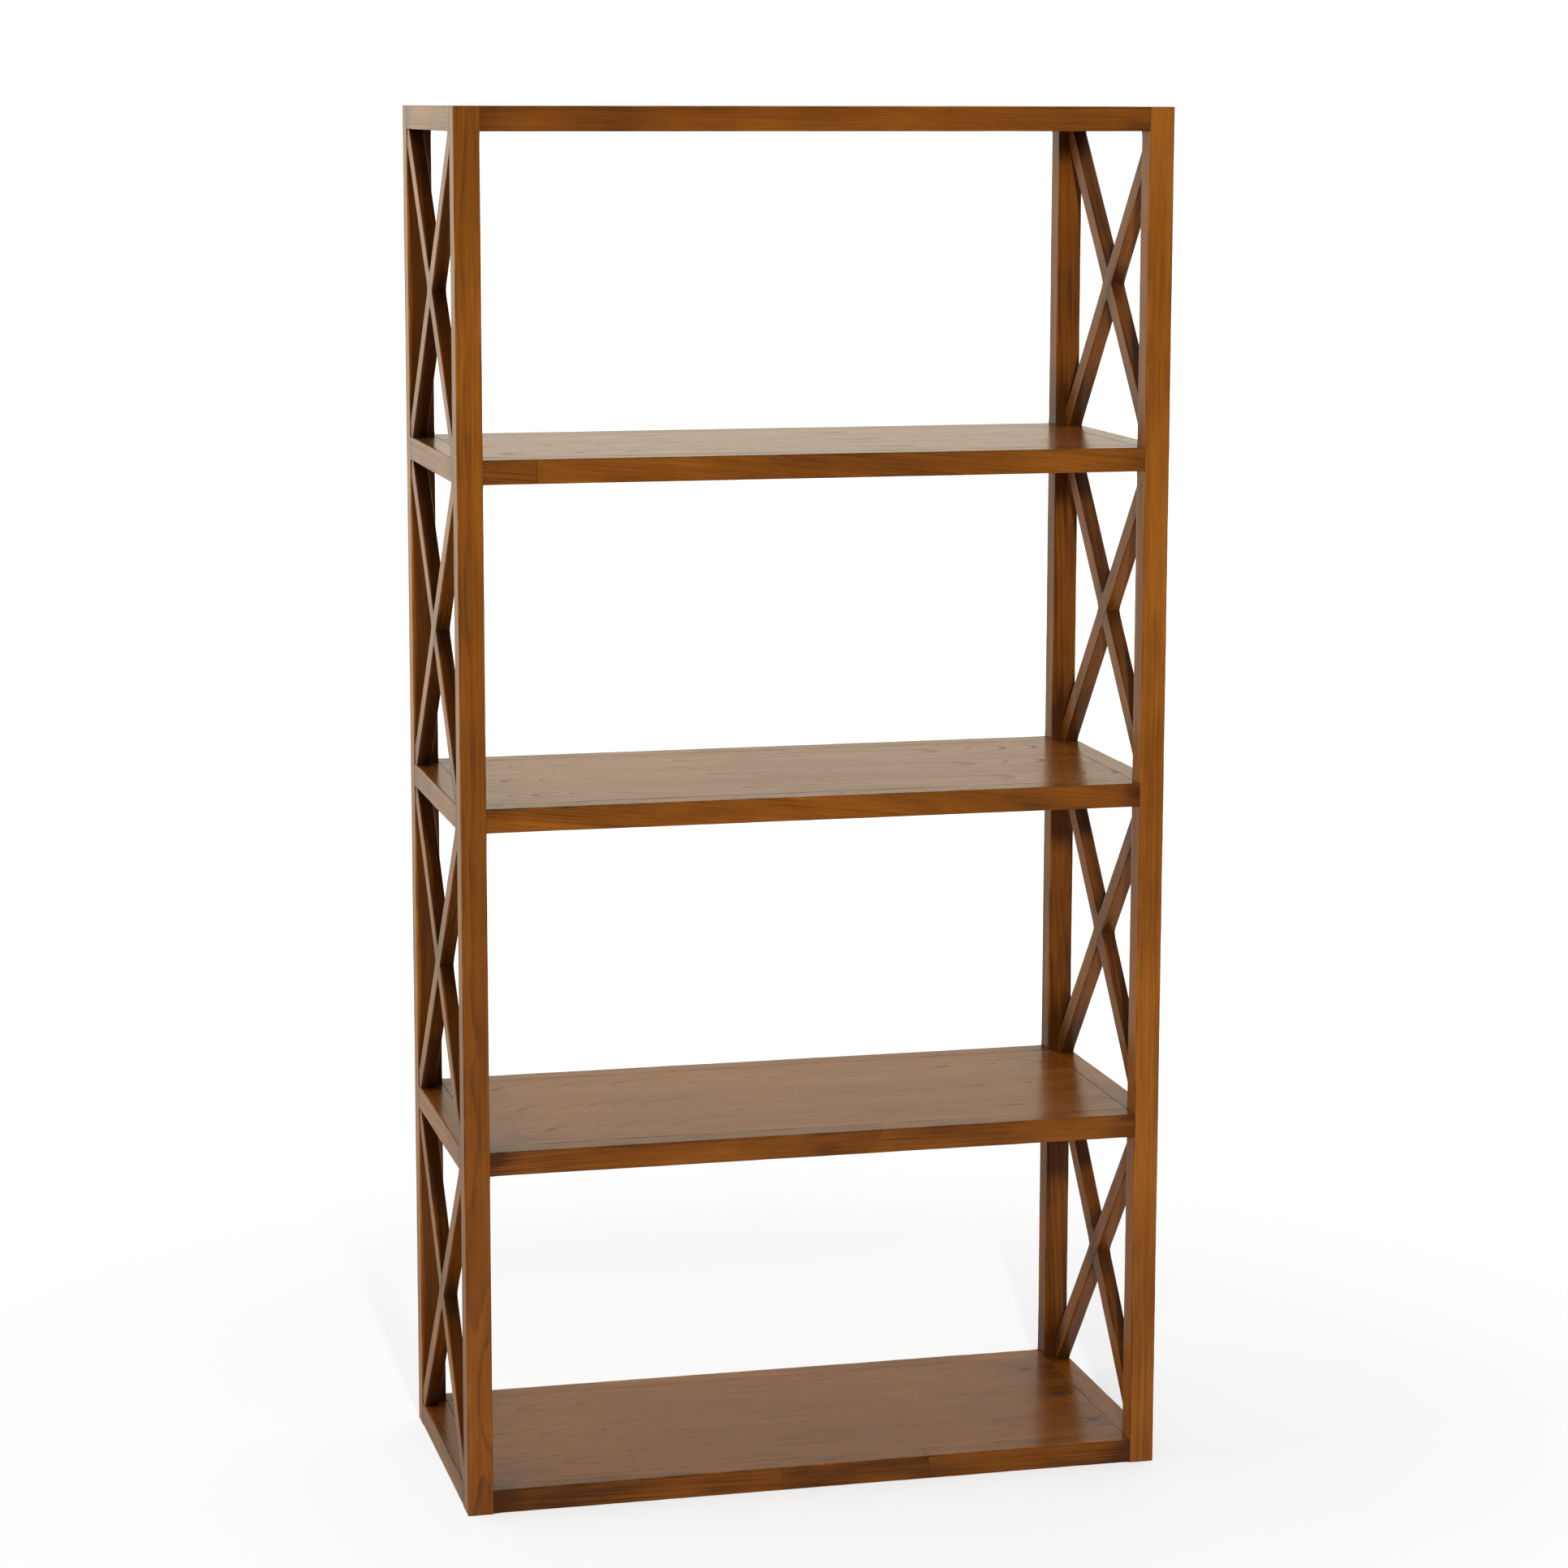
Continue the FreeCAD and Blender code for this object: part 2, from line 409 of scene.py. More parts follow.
def stations(length, marks=()):
    """Places along a bar from 0 to its length: even steps, with finer ones round each mark and both ends."""
    fine = np.array(FINE_STEPS)
    around = np.concatenate((-fine, (0.0,), fine))
    wanted = [np.arange(0.0, length, STEP)]
    wanted += [mark + around for mark in (0.0, length, *marks)]
    places = np.sort(np.concatenate(wanted))
    places = places[(places >= 0.0) & (places <= length)]
    return places[np.concatenate(((True,), np.diff(places) > SHORTEST_STEP))]


def held(places, joints, reach):
    """1 between the low and high place of any joint, falling smoothly to 0 at reach beyond it."""
    low, high = np.asarray(joints, dtype=float).T
    beyond = np.maximum(low - places[:, None], places[:, None] - high)
    return smooth(1.0 - np.maximum(beyond, 0.0).min(axis=1) / reach)


def pooled_stain_and_shade(heights):
    """Stain left in the corners of the bays, most above each level, and less below it, where it is partly
    painted shade under the level; falling smoothly to 0.
    """
    above = np.abs(heights[..., None] - LEVELS[:, 1]).min(axis=-1)
    below = np.abs(LEVELS[:, 0] - heights[..., None]).min(axis=-1)
    return np.maximum(smooth(1.0 - above / FOOT_REACH), HEAD_STAIN_AND_SHADE * smooth(1.0 - below / STAIN_REACH))


def worn(rng, places, share):
    """How far each of a bar's four edges is rubbed down along it.

    It is 1 plus a share of the mean of a few sine waves of different lengths."""
    phases = rng.uniform(0.0, FULL_TURN, (len(WEAR_WAVES), len(CORNER_SIGNS)))
    waves = np.sin(FULL_TURN * places[:, None, None] / np.array(WEAR_WAVES)[:, None] + phases)
    return 1.0 + share * waves.mean(axis=1)


def eased_radii(rng, places, stop, sizes):
    """Radius of a bar's four edges at every station: worn and eased where stop is 0, crisp where it is 1."""
    eased = sizes.eased_edge * worn(rng, places, sizes.wear)
    return eased + stop * (sizes.crisp_edge - eased)


def corner_turns():
    """Angle at which the surface faces on each corner's quarter circle, one row for each corner."""
    return QUARTER_TURN * (np.arange(len(CORNER_SIGNS))[:, None] + np.linspace(0.0, 1.0, ARC_STEPS + 1))


def rays(turns):
    """Unit vectors at some angles: cosine and sine."""
    return np.stack((np.cos(turns), np.sin(turns)), axis=-1)


def outline(half, radii):
    """Section of a bar at every station, anticlockwise: at each corner a quarter circle, then a side.

    half holds the half width and half height of each station, radii the radius of its four corners."""
    centres = CORNER_SIGNS * (half[:, None, :] - radii[..., None])
    arcs = centres[:, :, None, :] + radii[..., None, None] * rays(corner_turns())
    starts = arcs[:, :, -1:, :]
    ends = np.roll(arcs, -1, axis=1)[:, :, :1, :]
    sides = starts + SIDE_SHARES[:, None] * (ends - starts)
    return np.concatenate((arcs, sides), axis=2).reshape(len(half), -1, 2)


def outward_rays():
    """Direction in which the surface faces at each point of an outline."""
    turns = corner_turns()
    sides = np.repeat(turns[:, -1:], len(SIDE_SHARES), axis=1)
    return rays(np.concatenate((turns, sides), axis=1).ravel())


def edge_share():
    """How much each point of an outline lies on an eased edge, as four columns, one for each corner.

    It is a half wave round the quarter circle with a least value at its ends, and 0 on the sides."""
    bump = np.sin(math.pi * np.linspace(0.0, 1.0, ARC_STEPS + 1))
    one_corner = np.concatenate((np.maximum(bump, EDGE_LEAST), np.zeros(len(SIDE_SHARES))))
    return np.kron(np.eye(len(CORNER_SIGNS)), one_corner[:, None])


def sand(rng, section, places, free, height):
    """A section drawn in by slow waves where its faces are free of joints.

    The depth is a height times 1 plus the mean of a few sines that run along the bar and round it."""
    around = np.linspace(0.0, 1.0, section.shape[1], endpoint=False)
    waves = np.zeros((len(places), len(around)))
    for length, turns in SANDED_WAVES:
        phase = rng.uniform(0.0, FULL_TURN)
        waves += np.sin(FULL_TURN * (places[:, None] / length + turns * around) + phase)
    depth = height + height * waves / len(SANDED_WAVES)
    return section - (depth * free[:, None])[..., None] * outward_rays()


class Surface(NamedTuple):
    """A closed surface: its points, the same points as they lie in the bar or board, and its faces"""

    points: np.ndarray
    local: np.ndarray
    quads: np.ndarray
    triangles: np.ndarray


def sweep(axes, origin, places, section, tips):
    """A section carried along a straight path: origin + place * along + width * right + height * up.

    Each end is closed by a fan to one point on the middle line, at the places given as tips."""
    rings, size = places.shape
    local = np.concatenate((places[..., None], section), axis=-1).reshape(-1, 3)
    local = np.concatenate((local, [(tip, 0.0, 0.0) for tip in tips]))
    right, up, along = axes
    points = origin + local @ np.stack((along, right, up))
    here = np.arange(size)
    ahead = np.roll(here, -1)
    starts = np.arange(rings - 1)[:, None] * size
    quads = np.stack((starts + here, starts + ahead, starts + size + ahead, starts + size + here), axis=-1)
    last = (rings - 1) * size
    first_fan = np.stack((np.full(size, rings * size), ahead, here), axis=-1)
    last_fan = np.stack((np.full(size, rings * size + 1), last + here, last + ahead), axis=-1)
    return Surface(points, local, quads.reshape(-1, 4), np.concatenate((first_fan, last_fan)))


def ring_grid(values):
    """A value of each station, repeated for every point of its outline."""
    return np.repeat(values[:, None], len(outward_rays()), axis=1)


def ring_field(values, ends=0.0):
    """A value for every point of a sweep, from its rings and the same value for both tips."""
    return np.concatenate((values.ravel(), (ends, ends)))


def piece_random(node):
    """A steady source of random numbers for one piece."""
    return np.random.default_rng((SEED, sorted(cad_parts).index(node)))


def tone_and_painted_shading_of(rng, node):
    """How much darker than the rest a piece of wood is, below 0 for a lighter one; on some pieces partly
    painted shade or painted light.
    """
    return TONES_AND_PAINTED_SHADING.get(node, rng.normal(0.0, TONE_SPREAD))


def figure_of(rng, node):
    """How a bar lay in its log: as its name asks or else at random, and always from a random place."""
    shift = rng.uniform(*SHIFTS)
    drawn = Figure(
        turn=rng.uniform(0.0, FULL_TURN),
        pith=rng.uniform(*BAR_PITHS),
        slope=rng.normal(0.0, BAR_SLOPE_SPREAD),
        bow=rng.normal(0.0, BAR_BOW_SPREAD),
        crest=rng.uniform(*BAR_CRESTS),
    )
    return FIGURES.get(node, drawn)._replace(shift=shift)


def bell(distance, reach):
    """Bell curve: 1 at no distance, and e to the power of minus the square of distance over reach."""
    return np.exp(-(distance / reach) ** 2)


def in_the_log(local, figure):
    """Where each point lay in the log: along the grain, then across and away from the pith.

    Width and height are turned about the length. To the distance from the pith come the slope times the
    place, the bow times the square of the distance from the crest, and the swell, a bell curve both ways."""
    place, width, height = local.T
    from_crest = place - figure.crest
    across = width * math.cos(figure.turn) - height * math.sin(figure.turn) - figure.aside
    away = width * math.sin(figure.turn) + height * math.cos(figure.turn)
    away = away + figure.pith + figure.slope * place + figure.bow * from_crest ** 2
    away = away + figure.swell * bell(from_crest, SWELL_REACH) * bell(across, SWELL_WIDTH)
    return np.stack((place + figure.shift, across, away), axis=-1)


def one_board(log):
    """Grain of a piece that is one board: at each face corner, where its point lay in the log."""
    def grain(corners, counts):
        return log[corners]

    return grain


def joined_lengths(logs, places, cuts):
    """Grain of a rail joined from shorter lengths: the faces between two cuts lie in a log of their own."""
    around = len(outward_rays())
    length_of_ring = np.searchsorted(np.searchsorted(places, cuts), np.arange(len(places) - 1), side="right")

    def grain(corners, counts):
        quads = np.repeat(length_of_ring, around)
        fans = np.repeat((0, len(cuts)), around)
        return logs[np.repeat(np.concatenate((quads, fans)), counts), corners]

    return grain


def add_timber(node, surface, fields, grain, material):
    """Makes the mesh object that stands for one CAD node.

    The mesh keeps what its material reads: the grain on every face corner and the fields on every point."""
    name = f"{node}_timber"
    mesh = bpy.data.meshes.new(name)
    quads, triangles = surface.quads, surface.triangles
    corners = np.concatenate((quads.ravel(), triangles.ravel())).astype(np.int32)
    counts = np.concatenate((np.full(len(quads), 4), np.full(len(triangles), 3))).astype(np.int32)
    mesh.vertices.add(len(surface.points))
    mesh.vertices.foreach_set("co", surface.points.astype(np.float32).ravel())
    mesh.loops.add(len(corners))
    mesh.loops.foreach_set("vertex_index", corners)
    mesh.polygons.add(len(counts))
    mesh.polygons.foreach_set("loop_start", (np.cumsum(counts) - counts).astype(np.int32))
    mesh.update(calc_edges=True)
    if mesh.validate():
        raise RuntimeError(f"{name} has faces that do not fit together")
    mesh.shade_smooth()
    mesh.set_sharp_from_angle(angle=SHARP_ANGLE)
    lay = mesh.attributes.new("grain", "FLOAT_VECTOR", "CORNER")
    lay.data.foreach_set("vector", grain(corners, counts).astype(np.float32).ravel())
    for field, values in fields.items():
        layer = mesh.attributes.new(field, "FLOAT", "POINT")
        layer.data.foreach_set("value", values.astype(np.float32))
    mesh.materials.append(material)
    piece = bpy.data.objects.new(name, mesh)
    bpy.context.scene.collection.objects.link(piece)
    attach(piece, "root")
    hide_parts(node)


def make_post(node, sizes, material):
    """A post: a rounded square carried up the Z axis.

    Its outer edge is eased from end to end, and the others run out at every level, where rails meet them.
    Each end is drawn in like a quarter circle of radius r, by r - sqrt(r^2 - (r - d)^2) at d from the end."""
    rng = piece_random(node)
    low, high = span(node)
    middle = (low + high) / 2
    length = high[2] - low[2]
    joints = LEVELS - low[2]
    places = stations(length, joints.ravel())
    met = held(places, joints, sizes.run_out)
    outer_edge = (CORNER_SIGNS == np.sign(middle[:2])).all(axis=1)
    stop = np.where(outer_edge, 0.0, met[:, None])
    radii = eased_radii(rng, places, stop, sizes)
    from_end = np.minimum(np.minimum(places, length - places) / sizes.end_round, 1.0)
    drawn_in = sizes.end_round * (1.0 - np.sqrt(1.0 - (1.0 - from_end) ** 2))
    half = (high - low)[:2] / 2 - drawn_in[:, None]
    section = sand(rng, outline(half, radii), places, 1.0 - met, sizes.sanding)
    foot = np.array((middle[0], middle[1], low[2]))
    surface = sweep((ALONG_X, ALONG_Y, UP), foot, ring_grid(places), section, (0.0, length))
    share = edge_share()
    inward = (outward_rays() * np.sign(middle[:2])).min(axis=1) < INWARD
    stain = np.where(inward, FRONT_STAIN if middle[1] < 0 else 1.0, OUTER_STAIN)
    tone = tone_and_painted_shading_of(rng, node)
    figure = figure_of(rng, node)
    plain = np.maximum(bell(surface.local[:, 0] - figure.crest, SWELL_REACH) ** 2, FIGURE_LEAST)
    fields = {
        "joint_line": ring_field((stop > CRISP_SHARE) @ share.T),
        "rubbed": ring_field((1.0 - stop) @ share.T),
        "gathered": ring_field(pooled_stain_and_shade(places + low[2])[:, None] * stain),
        "tone": np.full(len(surface.points), tone),
        "figured": plain * (figure.swell > 0.0),
    }
    log = in_the_log(surface.local, figure)
    add_timber(node, surface, fields, one_board(log), material)


def rail_axes(node):
    """Right, up and along of a rail, the start of its middle line, its length, and the way it faces out."""
    low, high = span(node)
    middle = (low + high) / 2
    if "_front_" in node or "_rear_" in node:
        start = np.array((-OPEN_X, middle[1], middle[2]))
        return (ALONG_Y, UP, ALONG_X), start, 2 * OPEN_X, np.sign(middle[1]) * ALONG_Y
    start = np.array((middle[0], -OPEN_Y, middle[2]))
    return (UP, ALONG_X, ALONG_Y), start, 2 * OPEN_Y, np.sign(middle[0]) * ALONG_X


def in_seam(places, cuts):
    """How deep each station of a rail lies in a butt seam: a bell curve round every cut, 1 at the cut."""
    return np.max([bell(places - cut, SEAM_HALF_WIDTH) for cut in cuts], axis=0, initial=0.0)


def slanted(places, seams, height):
    """Places of a rail's points: near a butt seam they move with the height, by the slant of the cut."""
    grid = ring_grid(places)
    for cut, slant in seams:
        grid = grid + slant * height * smooth(1.0 - np.abs(places - cut) / SEAM_BLEND)[:, None]
    return grid


def make_rail(node, sizes, material):
    """A rail: a rounded oblong carried from post to post, with a fine groove at each butt seam.

    Its edges run out at both ends, and the edge beside the panel stays crisp."""
    rng = piece_random(node)
    low, high = span(node)
    axes, start, length, outer = rail_axes(node)
    across = np.stack(axes[:2])
    seams = [(place + length / 2, slant) for place, slant in SEAMS.get(node, ())]
    cuts = [place for place, slant in seams]
    places = stations(length, cuts)
    to_end = np.minimum(places, length - places)
    met = held(places, ((0.0, 0.0), (length, length)), sizes.run_out)
    facing = CORNER_SIGNS @ across
    beside_panel = (facing @ UP > 0) & (facing @ outer < 0)
    stop = np.where(beside_panel, 1.0, met[:, None])
    radii = eased_radii(rng, places, stop, sizes)
    groove = in_seam(places, cuts)
    drawn_in = sizes.crisp_edge * smooth(1.0 - to_end / sizes.crisp_edge) + SEAM_DEPTH * groove
    half = np.abs(across @ (high - low)) / 2 - drawn_in[:, None]
    section = sand(rng, outline(half, radii), places, 1.0 - met, sizes.sanding)
    grid = slanted(places, seams, section @ (across @ UP))
    surface = sweep(axes, start, grid, section, (0.0, length))
    share = edge_share()
    line = np.maximum(smooth(1.0 - to_end / (2 * sizes.crisp_edge)), groove)
    by_panel = SEAM_SHARE * SEAM_SHOWN.get(node, 1.0) * (share @ beside_panel)
    outside = smooth(outward_rays() @ across @ outer)
    fields = {
        "joint_line": ring_field(np.maximum(line[:, None], by_panel), 1.0),
        "rubbed": ring_field((1.0 - stop) @ share.T),
        "gathered": ring_field(ring_grid(smooth(1.0 - to_end / STAIN_REACH)), 1.0),
        "tone": ring_field(np.tile(tone_and_painted_shading_of(rng, node) * outside, (len(places), 1))),
    }
    logs = np.stack([in_the_log(surface.local, figure_of(rng, node)) for each in range(len(cuts) + 1)])
    add_timber(node, surface, fields, joined_lengths(logs, places, cuts), material)


# Parts of a brace, in the order in which its rings follow each other
FRONT_ARM, LAP, REAR_ARM = range(3)


class Diagonal:
    """The line of a brace across its bay: its lean, slope, section and the lengths of its lap and arms."""

    def __init__(self, node, width):
        low, high = span(node)
        self.middle = (low + high) / 2
        self.lean = -1.0 if "_rising_" in node else 1.0
        self.half_rise = (high[2] - low[2]) / 2
        self.angle = self.lean * math.atan2(self.half_rise, OPEN_Y)
        self.cosine = math.cos(self.angle)
        self.sine = math.sin(self.angle)
        self.along = np.array((0.0, self.cosine, self.sine))
        self.across = np.cross(self.along, ALONG_X)
        self.half = np.array(((high[0] - low[0]) / 2, width / 2))
        self.half_lap = self.half[1] / abs(math.sin(2 * self.angle))
        self.arm = self.reach(0.0) - self.half_lap

    def reach(self, width):
        """How far a long line of the brace runs from the middle: to the post or the rail, the nearer one."""
        to_post = (OPEN_Y - width * self.sine) / self.cosine
        to_rail = (self.half_rise + self.lean * width * self.cosine) / abs(self.sine)
        return np.minimum(to_post, to_rail)


def brace_rings(line):
    """For each ring of a brace: its part, its distance from the start of that part, and the part's length."""
    arm = stations(line.arm)
    lap = stations(2 * line.half_lap)
    part = np.repeat((FRONT_ARM, LAP, REAR_ARM), (len(arm), len(lap), len(arm)))
    return part, np.concatenate((arm, lap, arm)), np.where(part == LAP, 2 * line.half_lap, line.arm)


def brace_places(line, part, share, width):
    """Where each point of a brace lies along it: its start plus a share of the way to its end.

    The arms run to the walls of the corners, and the lap lies between the slanted edges of the other brace.
    Each shoulder of the lap is two shortest steps long."""
    shoulder = SHORTEST_STEP * np.where(part == LAP, 1.0, -1.0)[:, None]
    crossing = width / math.tan(2 * line.angle)
    lap_start = crossing - line.half_lap + shoulder
    lap_end = crossing + line.half_lap - shoulder
    starts = np.choose(part[:, None], (-line.reach(-width), lap_start, lap_end))
    ends = np.choose(part[:, None], (lap_start, lap_end, line.reach(width)))
    return starts + share[:, None] * (ends - starts)


def brace_tones_and_painted_shading(line, places):
    """Tone of each point of a brace, with painted light and shade by the way it faces: painted shade on its
    upper edges and painted light on its broad sides. On the left side there is also painted shadow, set by
    how far back the point lies.
    """
    facing = outward_rays()
    tones_and_shading = np.where(facing[:, 1] * line.across[2] > 0.0, BRACE_TOP_PAINTED_SHADE, BRACE_EDGE_TONE)
    # Left side: painted shadow, deeper towards the back and on the rising braces
    if line.middle[0] < 0.0:
        rising = LEFT_RISING_PAINTED_SHADOW if line.lean < 0.0 else 0.0
        tones_and_shading = tones_and_shading + LEFT_REAR_PAINTED_SHADOW * places * line.cosine / OPEN_Y + rising
    sideways = facing[:, 0] ** 2
    return np.broadcast_to(tones_and_shading + sideways * (BRACE_SIDE_PAINTED_LIGHT - tones_and_shading), places.shape)


def brace_joints(line, part, distance, to_joint, thick, crisp_edge):
    """Dark lines of a brace: all round its tips, on the cut side of its shoulders, and along its lap."""
    close = smooth(1.0 - to_joint / (2 * crisp_edge))[:, None]
    from_tip = np.abs(distance - np.where(part == FRONT_ARM, 0.0, line.arm))
    outer_half = (part != LAP) & (from_tip < line.arm / 2)
    cut_side = (line.lean * thick < -line.half[0] / 2) | outer_half[:, None]
    kept_side = (part == LAP)[:, None] & (line.lean * thick > line.half[0] / 2)
    return ring_field(np.maximum(close * cut_side, kept_side * edge_share().sum(axis=1)), 1.0)


def make_brace(node, sizes, material):
    """A brace: a rounded oblong carried along a diagonal of its bay, with pointed ends.

    In the lap, where the other brace crosses it, a point at t from the middle of the thickness moves to
    (t + lean * half thickness) / 2, so one half of the thickness is left."""
    rng = piece_random(node)
    line = Diagonal(node, sizes.brace_width)
    part, distance, length = brace_rings(line)
    to_joint = np.minimum(distance, length - distance)
    free = smooth(to_joint / sizes.run_out) * (part != LAP)
    run = distance + part * line.arm
    eased = sizes.eased_edge * worn(rng, run, sizes.wear).mean(axis=1)
    radii = sizes.crisp_edge + free * (eased - sizes.crisp_edge)
    section = outline(np.tile(line.half, (len(part), 1)), np.tile(radii[:, None], len(CORNER_SIGNS)))
    section = sand(rng, section, run, free, sizes.sanding)
    thick, width = np.moveaxis(section, -1, 0)
    thick = np.where((part == LAP)[:, None], (thick + line.lean * line.half[0]) / 2, thick)
    section = np.stack((thick, width), axis=-1)
    places = brace_places(line, part, distance / length, width)
    origin = np.array((line.middle[0], 0.0, line.middle[2]))
    tips = (-line.reach(0.0), line.reach(0.0))
    surface = sweep((ALONG_X, line.across, line.along), origin, places, section, tips)
    crossing = ring_field(ring_grid(smooth(1.0 - to_joint / STAIN_REACH)), 1.0)
    fields = {
        "joint_line": brace_joints(line, part, distance, to_joint, thick, sizes.crisp_edge),
        "rubbed": ring_field(free[:, None] * edge_share().sum(axis=1)),
        "gathered": np.maximum(crossing, pooled_stain_and_shade(surface.points[:, 2])),
        # Tone plus painted light and shade on the brace's faces
        "tone": tone_and_painted_shading_of(rng, node) + ring_field(brace_tones_and_painted_shading(line, places), BRACE_EDGE_TONE),
    }
    log = in_the_log(surface.local, figure_of(rng, node))
    add_timber(node, surface, fields, one_board(log), material)


def panel_profile(sizes, thickness):
    """How far each loop round a panel lies inside its outline and below its top.

    The edge goes round a quarter circle into the seam, down it, out to the rails and on to the underside."""
    turns = QUARTER_TURN * np.linspace(0.0, 1.0, ARC_STEPS + 1)
    inset = sizes.panel_seam + sizes.crisp_edge * (1.0 - np.sin(turns))
    depth = sizes.crisp_edge * (1.0 - np.cos(turns))
    inset = np.concatenate((inset, (sizes.panel_seam, 0.0, 0.0)))
    depth = np.concatenate((depth, (sizes.seam_depth, sizes.seam_depth, thickness)))
    return inset, depth


def raised(plan, heights):
    """Points of a plan at their heights."""
    return np.concatenate((plan, np.broadcast_to(heights, (*plan.shape[:-1], 1))), axis=-1)


def numbered(plan):
    """Numbers of the points of a grid, and those along its rim, anticlockwise."""
    index = np.arange(plan.shape[0] * plan.shape[1]).reshape(plan.shape[:2])
    return index, np.concatenate((index[:-1, 0], index[-1, :-1], index[:0:-1, -1], index[0, :0:-1]))


def board(top, loops, under):
    """The closed surface of a board: a grid over its top, loops that go round its edge and a grid under it.

    The first loop hangs on the rim of the top, and the last one is the rim of the underside."""
    index, rim = numbered(top)
    inner = np.zeros(index.shape, dtype=bool)
    inner[1:-1, 1:-1] = True
    loop_index = index.size + np.arange(len(loops) * len(rim)).reshape(-1, len(rim))
    under_index = np.zeros(index.size, dtype=int)
    under_index[inner.ravel()] = index.size + loop_index.size + np.arange(inner.sum())
    under_index[rim] = loop_index[-1]
    loop_index = np.concatenate((rim[None], loop_index))
    ahead = np.roll(loop_index, -1, axis=1)
    sides = np.stack((loop_index[1:], ahead[1:], ahead[:-1], loop_index[:-1]), axis=-1).reshape(-1, 4)
    cells = np.stack((index[:-1, :-1], index[1:, :-1], index[1:, 1:], index[:-1, 1:]), axis=-1).reshape(-1, 4)
    points = np.concatenate((top.reshape(-1, 3), loops.reshape(-1, 3), under[inner]))
    quads = np.concatenate((cells, sides, under_index[cells][:, ::-1]))
    return Surface(points, points, quads, np.zeros((0, 3), dtype=int))


def matched_leaves(rng, points, leaf_edges, top):
    """Grain of a panel made of leaves from one log: each shows the same figure, slipped a little along."""
    crest = rng.uniform(*PANEL_CRESTS)
    slip = rng.uniform(*LEAF_SLIPS)
    shift = rng.uniform(*SHIFTS)
    figure = Figure(pith=rng.uniform(*PANEL_PITHS), bow=rng.uniform(*PANEL_BOWS), crest=crest, shift=shift)
    leaf_width = leaf_edges[1] - leaf_edges[0]
    last_leaf = len(leaf_edges) - 2

    def grain(corners, counts):
        face = np.repeat(np.arange(len(counts)), counts)
        centre = np.bincount(face, points[corners, 1]) / counts
        leaf = np.clip(np.floor((centre - leaf_edges[0]) / leaf_width), 0, last_leaf)[face]
        place = points[corners] - np.array((0.0, 0.0, top))
        place[:, 0] += slip * leaf
        place[:, 1] -= leaf_edges[0] + (leaf + 0.5) * leaf_width
        return in_the_log(place, figure)

    return grain


def make_panel(node, sizes, material):
    """A shelf panel: a board whose upper edge is drawn in by the seam, and which reaches its rails below it.

    Its top is sunk by the sanding times 1 plus the mean of two sines, one along it and one across."""
    rng = piece_random(node)
    low, high = span(node)
    half = np.array((OPEN_X, OPEN_Y))
    inset, depth = panel_profile(sizes, high[2] - low[2])
    top_half = half - inset[0]
    leaf_edges = np.linspace(-top_half[1], top_half[1], sizes.leaves + 1)
    x_places = stations(2 * top_half[0]) - top_half[0]
    y_places = np.concatenate((leaf_edges, stations(2 * top_half[1]) - top_half[1]))
    y_places = np.unique(y_places.round(GRID_DIGITS))
    plan = np.stack(np.meshgrid(x_places, y_places, indexing="ij"), axis=-1)
    to_edge = (top_half - np.abs(plan)).min(axis=-1)
    waves = 0.0
    for axis in (0, 1):
        length = SANDED_WAVES[axis][0]
        waves = waves + np.sin(FULL_TURN * plan[..., axis] / length + rng.uniform(0.0, FULL_TURN))
    sunk = sizes.sanding * (1.0 + waves / 2) * smooth(to_edge / sizes.run_out)
    index, rim = numbered(plan)
    rim_plan = plan.reshape(-1, 2)[rim] / top_half * (half - inset[1:, None, None])
    loops = raised(rim_plan, high[2] - depth[1:, None, None])
    surface = board(raised(plan, (high[2] - sunk)[..., None]), loops, raised(plan / top_half * half, low[2]))
    points = surface.points
    line = np.zeros(len(points))
    line[:index.size + len(loops) * len(rim)] = 1.0
    line[:index.size] = smooth(1.0 - to_edge.ravel() / SEAM_LINE)
    to_end = OPEN_X - np.abs(points[:, 0])
    fields = {
        "joint_line": SEAM_SHOWN.get(node, 1.0) * line,
        "rubbed": np.zeros(len(points)),
        "gathered": PANEL_STAIN.get(node, 1.0) * smooth(1.0 - to_end / FOOT_REACH),
        "tone": np.full(len(points), tone_and_painted_shading_of(rng, node)),
    }
    grain = matched_leaves(rng, points, leaf_edges, high[2])
    add_timber(node, surface, fields, grain, material)


